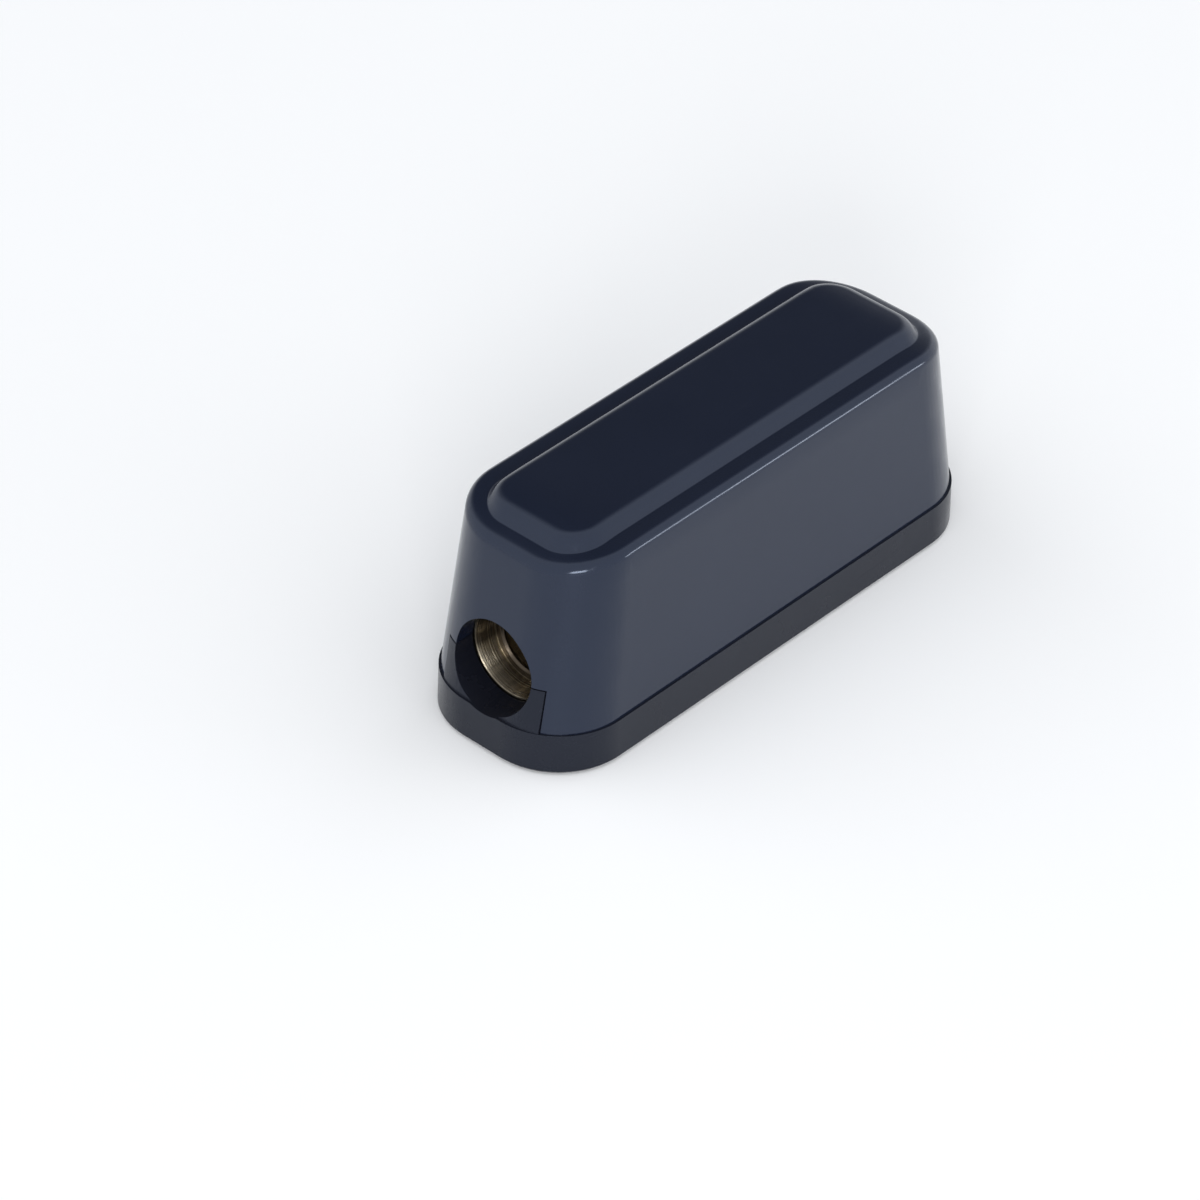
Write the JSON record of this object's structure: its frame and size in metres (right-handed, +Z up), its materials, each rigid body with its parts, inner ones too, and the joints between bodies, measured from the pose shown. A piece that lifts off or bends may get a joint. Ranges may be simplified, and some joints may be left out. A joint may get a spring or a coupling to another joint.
{
  "type": "fuse holder",
  "caption": "Fuse holder with a push-fit cover over a bolted strip fuse, and a terminal block with a cable clamp at each end.",
  "frame": {"origin": "middle of the underside, on the plane that the holder rests on", "axes": "+X along the holder, from one cable entry to the other; +Z up, the way the cover comes off"},
  "size_m": [0.082, 0.0274, 0.0322],
  "materials": {
    "base_plastic": "moulded black, semi-gloss",
    "cover_plastic": "moulded black, high gloss",
    "terminal_metal": "machined brass, nickel plated",
    "screw_steel": "zinc-plated steel",
    "strip_metal": "stamped strip, tin or nickel plated",
    "case_plastic": "moulded blue, satin",
    "case_window": "clear moulded plastic"
  },
  "bodies": {
    "holder": {"base": "base_plastic", "terminal_left": "terminal_metal", "terminal_right": "terminal_metal", "block_screw_left": "screw_steel", "block_screw_right": "screw_steel", "fuse_strip": "strip_metal", "fuse_case_lower": "case_plastic", "fuse_case_upper": "case_window"},
    "cover": {"cover": "cover_plastic"},
    "clamp_left": {"clamp_screw_left": "screw_steel"},
    "fixing_left": {"fuse_screw_left": "screw_steel", "flat_washer_left": "screw_steel", "spring_washer_left": "screw_steel"},
    "clamp_right": {"clamp_screw_right": "screw_steel"},
    "fixing_right": {"fuse_screw_right": "screw_steel", "flat_washer_right": "screw_steel", "spring_washer_right": "screw_steel"}
  },
  "joints": [
    {"name": "cover_lift", "type": "slide", "parent": "holder", "child": "cover", "axis": [0, 0, 1], "range_m": [0, 0.045]},
    {"name": "clamp_screw_left_travel", "type": "slide", "parent": "holder", "child": "clamp_left", "axis": [0, 0, 1], "range_m": [-0.006, 0.0015]},
    {"name": "fuse_screw_left_travel", "type": "slide", "parent": "holder", "child": "fixing_left", "axis": [0, 0, 1], "range_m": [0, 0.0065]},
    {"name": "clamp_screw_right_travel", "type": "slide", "parent": "holder", "child": "clamp_right", "axis": [0, 0, 1], "range_m": [-0.006, 0.0015]},
    {"name": "fuse_screw_right_travel", "type": "slide", "parent": "holder", "child": "fixing_right", "axis": [0, 0, 1], "range_m": [0, 0.0065]}
  ]
}
